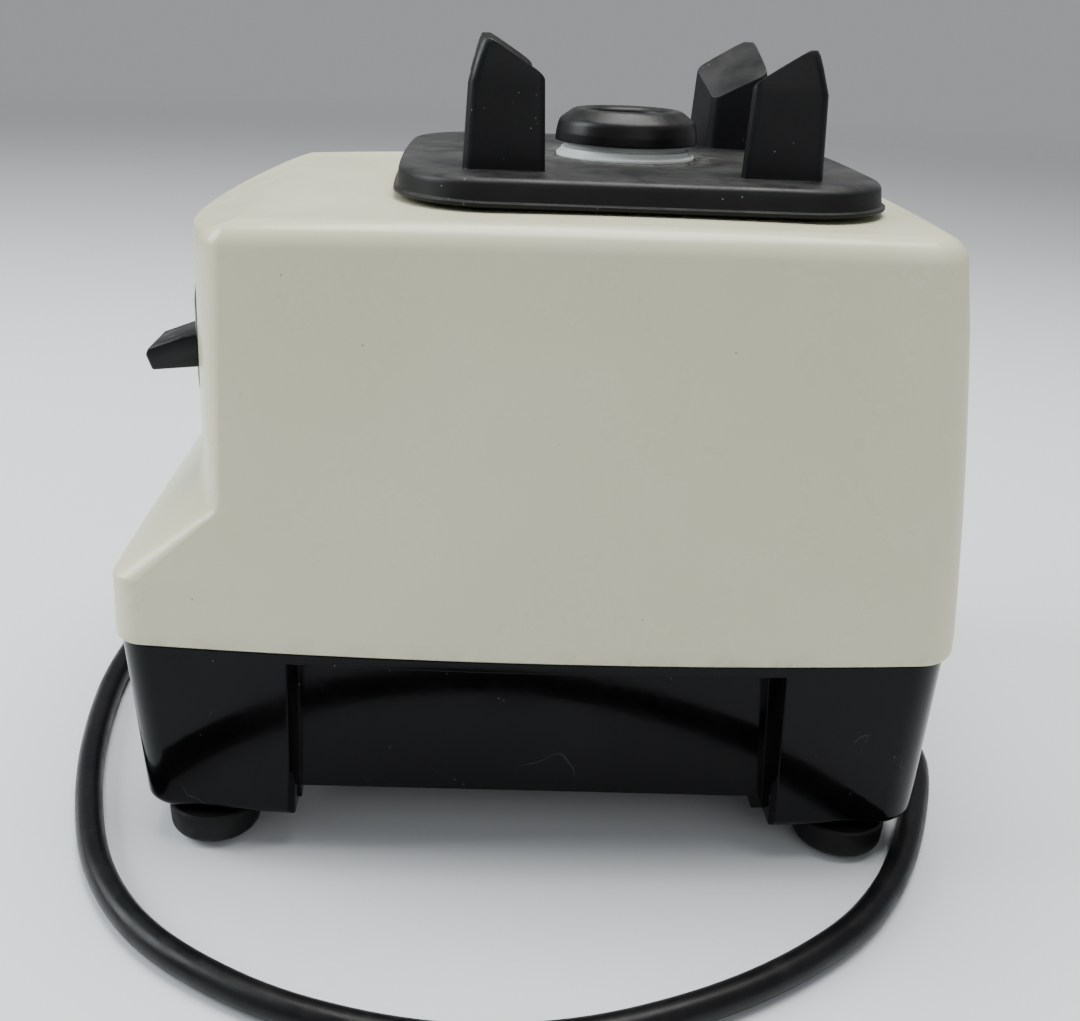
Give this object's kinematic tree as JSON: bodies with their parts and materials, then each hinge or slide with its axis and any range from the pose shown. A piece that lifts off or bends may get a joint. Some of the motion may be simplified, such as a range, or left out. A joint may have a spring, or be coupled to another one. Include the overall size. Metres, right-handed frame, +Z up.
{
  "type": "blender motor base",
  "caption": "Motor base of a countertop bar blender without its jar: cream housing on a black footed base, with a pegged centring pad and drive nut on top and a power cord.",
  "frame": {"origin": "on the table, under the middle of the motor base (cord left out)", "axes": "+Z up along the drive, -Y out of the face with the switches, +X towards the object's right-hand side seen from behind the switches"},
  "size_m": [0.399, 0.2882, 0.2198],
  "materials": {
    "cream_plastic": "glossy warm cream moulding, lightly scuffed",
    "black_plastic": "glossy black moulding",
    "black_satin_plastic": "satin black moulding",
    "black_rubber": "matt black rubber",
    "white_plastic": "off-white washer",
    "steel": "machined steel",
    "lamination_steel": "stacked laminations",
    "copper": "lacquered copper winding",
    "cast_aluminium": "cast and turned",
    "carbon": "pressed carbon",
    "brass": "plain brass",
    "cord_rubber": "smooth black cord jacket"
  },
  "bodies": {
    "base": {"housing_shell": "cream_plastic", "base_shell": "black_plastic", "bottom_cover": "black_satin_plastic", "foot_front_near": "black_rubber", "foot_front_far": "black_rubber", "foot_rear_near": "black_rubber", "foot_rear_far": "black_rubber", "foot_screw_front_near": "steel", "foot_screw_front_far": "steel", "foot_screw_rear_near": "steel", "foot_screw_rear_far": "steel", "centering_pad": "black_rubber", "spacer_ring": "white_plastic", "retaining_nut": "black_satin_plastic", "motor_top_bracket": "cast_aluminium", "motor_bottom_bracket": "cast_aluminium", "upper_bearing": "steel", "lower_bearing": "steel", "motor_bolt_1": "steel", "motor_bolt_2": "steel", "motor_bolt_3": "steel", "motor_bolt_4": "steel", "stator_core": "lamination_steel", "field_coil_near": "copper", "field_coil_far": "copper", "brush_holder_near": "brass", "brush_holder_far": "brass", "carbon_brush_near": "carbon", "carbon_brush_far": "carbon", "brush_spring_near": "steel", "brush_spring_far": "steel", "brush_cap_near": "black_satin_plastic", "brush_cap_far": "black_satin_plastic", "fan_shroud": "black_satin_plastic", "control_panel": "black_satin_plastic", "power_switch_body": "black_satin_plastic", "speed_switch_body": "black_satin_plastic", "power_pivot_pin": "steel", "speed_pivot_pin": "steel", "lead_mains": "cord_rubber", "lead_between_switches": "cord_rubber", "lead_motor": "cord_rubber", "strain_relief": "cord_rubber", "power_cord": "cord_rubber", "cord_coil": "cord_rubber", "cord_tail": "cord_rubber", "plug_body": "black_satin_plastic", "plug_blade_left": "brass", "plug_blade_right": "brass", "plug_ground_pin": "brass"},
    "rotor": {"motor_shaft": "steel", "armature_core": "lamination_steel", "armature_winding_upper": "copper", "armature_winding_lower": "copper", "commutator": "copper", "cooling_fan": "cast_aluminium", "drive_socket": "steel"},
    "power_lever": {"power_paddle": "black_satin_plastic"},
    "speed_lever": {"speed_paddle": "black_satin_plastic"}
  },
  "joints": [
    {"name": "drive_spin", "type": "hinge", "parent": "base", "child": "rotor", "pos_m": [0, 0.0226, 0.1], "axis": [0, 0, 1], "continuous": true},
    {"name": "power_lever_tilt", "type": "hinge", "parent": "base", "child": "power_lever", "pos_m": [0.042, -0.0859, 0.1395], "axis": [1, 0, 0], "range_deg": [-22, 2]},
    {"name": "speed_lever_tilt", "type": "hinge", "parent": "base", "child": "speed_lever", "pos_m": [-0.042, -0.0859, 0.1395], "axis": [1, 0, 0], "range_deg": [-22, 2]}
  ]
}
